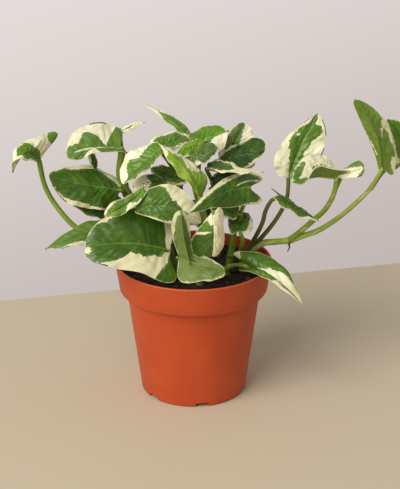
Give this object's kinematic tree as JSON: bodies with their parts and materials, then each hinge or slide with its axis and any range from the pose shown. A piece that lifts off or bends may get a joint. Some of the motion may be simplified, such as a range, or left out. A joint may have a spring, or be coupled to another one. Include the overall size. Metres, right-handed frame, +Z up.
{
  "type": "potted pothos",
  "caption": "Small trailing pothos with heart-shaped green and cream leaves, rooted in soil in a plain terracotta-coloured plastic nursery pot.",
  "frame": {"origin": "centre of the pot's base, on the surface that the pot stands on", "axes": "+X to the plant's right as seen from its front and along its longest extent, -Y the front, +Z up"},
  "size_m": [0.2636, 0.1109, 0.2033],
  "materials": {
    "terracotta_plastic": "satin injection-moulded plastic, terracotta coloured",
    "soil": "rough, damp potting mix of peat and bark",
    "cutting_left_leaf": "waxy, soft gloss leaf with cream variegation",
    "cutting_upper_left_leaf": "waxy, soft gloss leaf with cream variegation",
    "cutting_front_leaf": "waxy, soft gloss leaf with cream variegation",
    "cutting_low_front_leaf": "waxy, soft gloss leaf with cream variegation",
    "cutting_back_left_leaf": "waxy, soft gloss leaf with cream variegation",
    "cutting_back_leaf": "waxy, soft gloss leaf with cream variegation",
    "cutting_back_right_leaf": "waxy, soft gloss leaf with cream variegation",
    "cutting_right_leaf": "waxy, soft gloss leaf with cream variegation",
    "cutting_right_low_leaf": "waxy, soft gloss leaf with cream variegation",
    "cutting_vine_leaf": "waxy, soft gloss leaf with cream variegation"
  },
  "bodies": {
    "root": {"pot": "terracotta_plastic", "soil": "soil", "cutting_left": "cutting_left_leaf", "cutting_upper_left": "cutting_upper_left_leaf", "cutting_front": "cutting_front_leaf", "cutting_low_front": "cutting_low_front_leaf", "cutting_back_left": "cutting_back_left_leaf", "cutting_back": "cutting_back_leaf", "cutting_back_right": "cutting_back_right_leaf", "cutting_right": "cutting_right_leaf", "cutting_right_low": "cutting_right_low_leaf", "cutting_vine": "cutting_vine_leaf"}
  },
  "joints": []
}
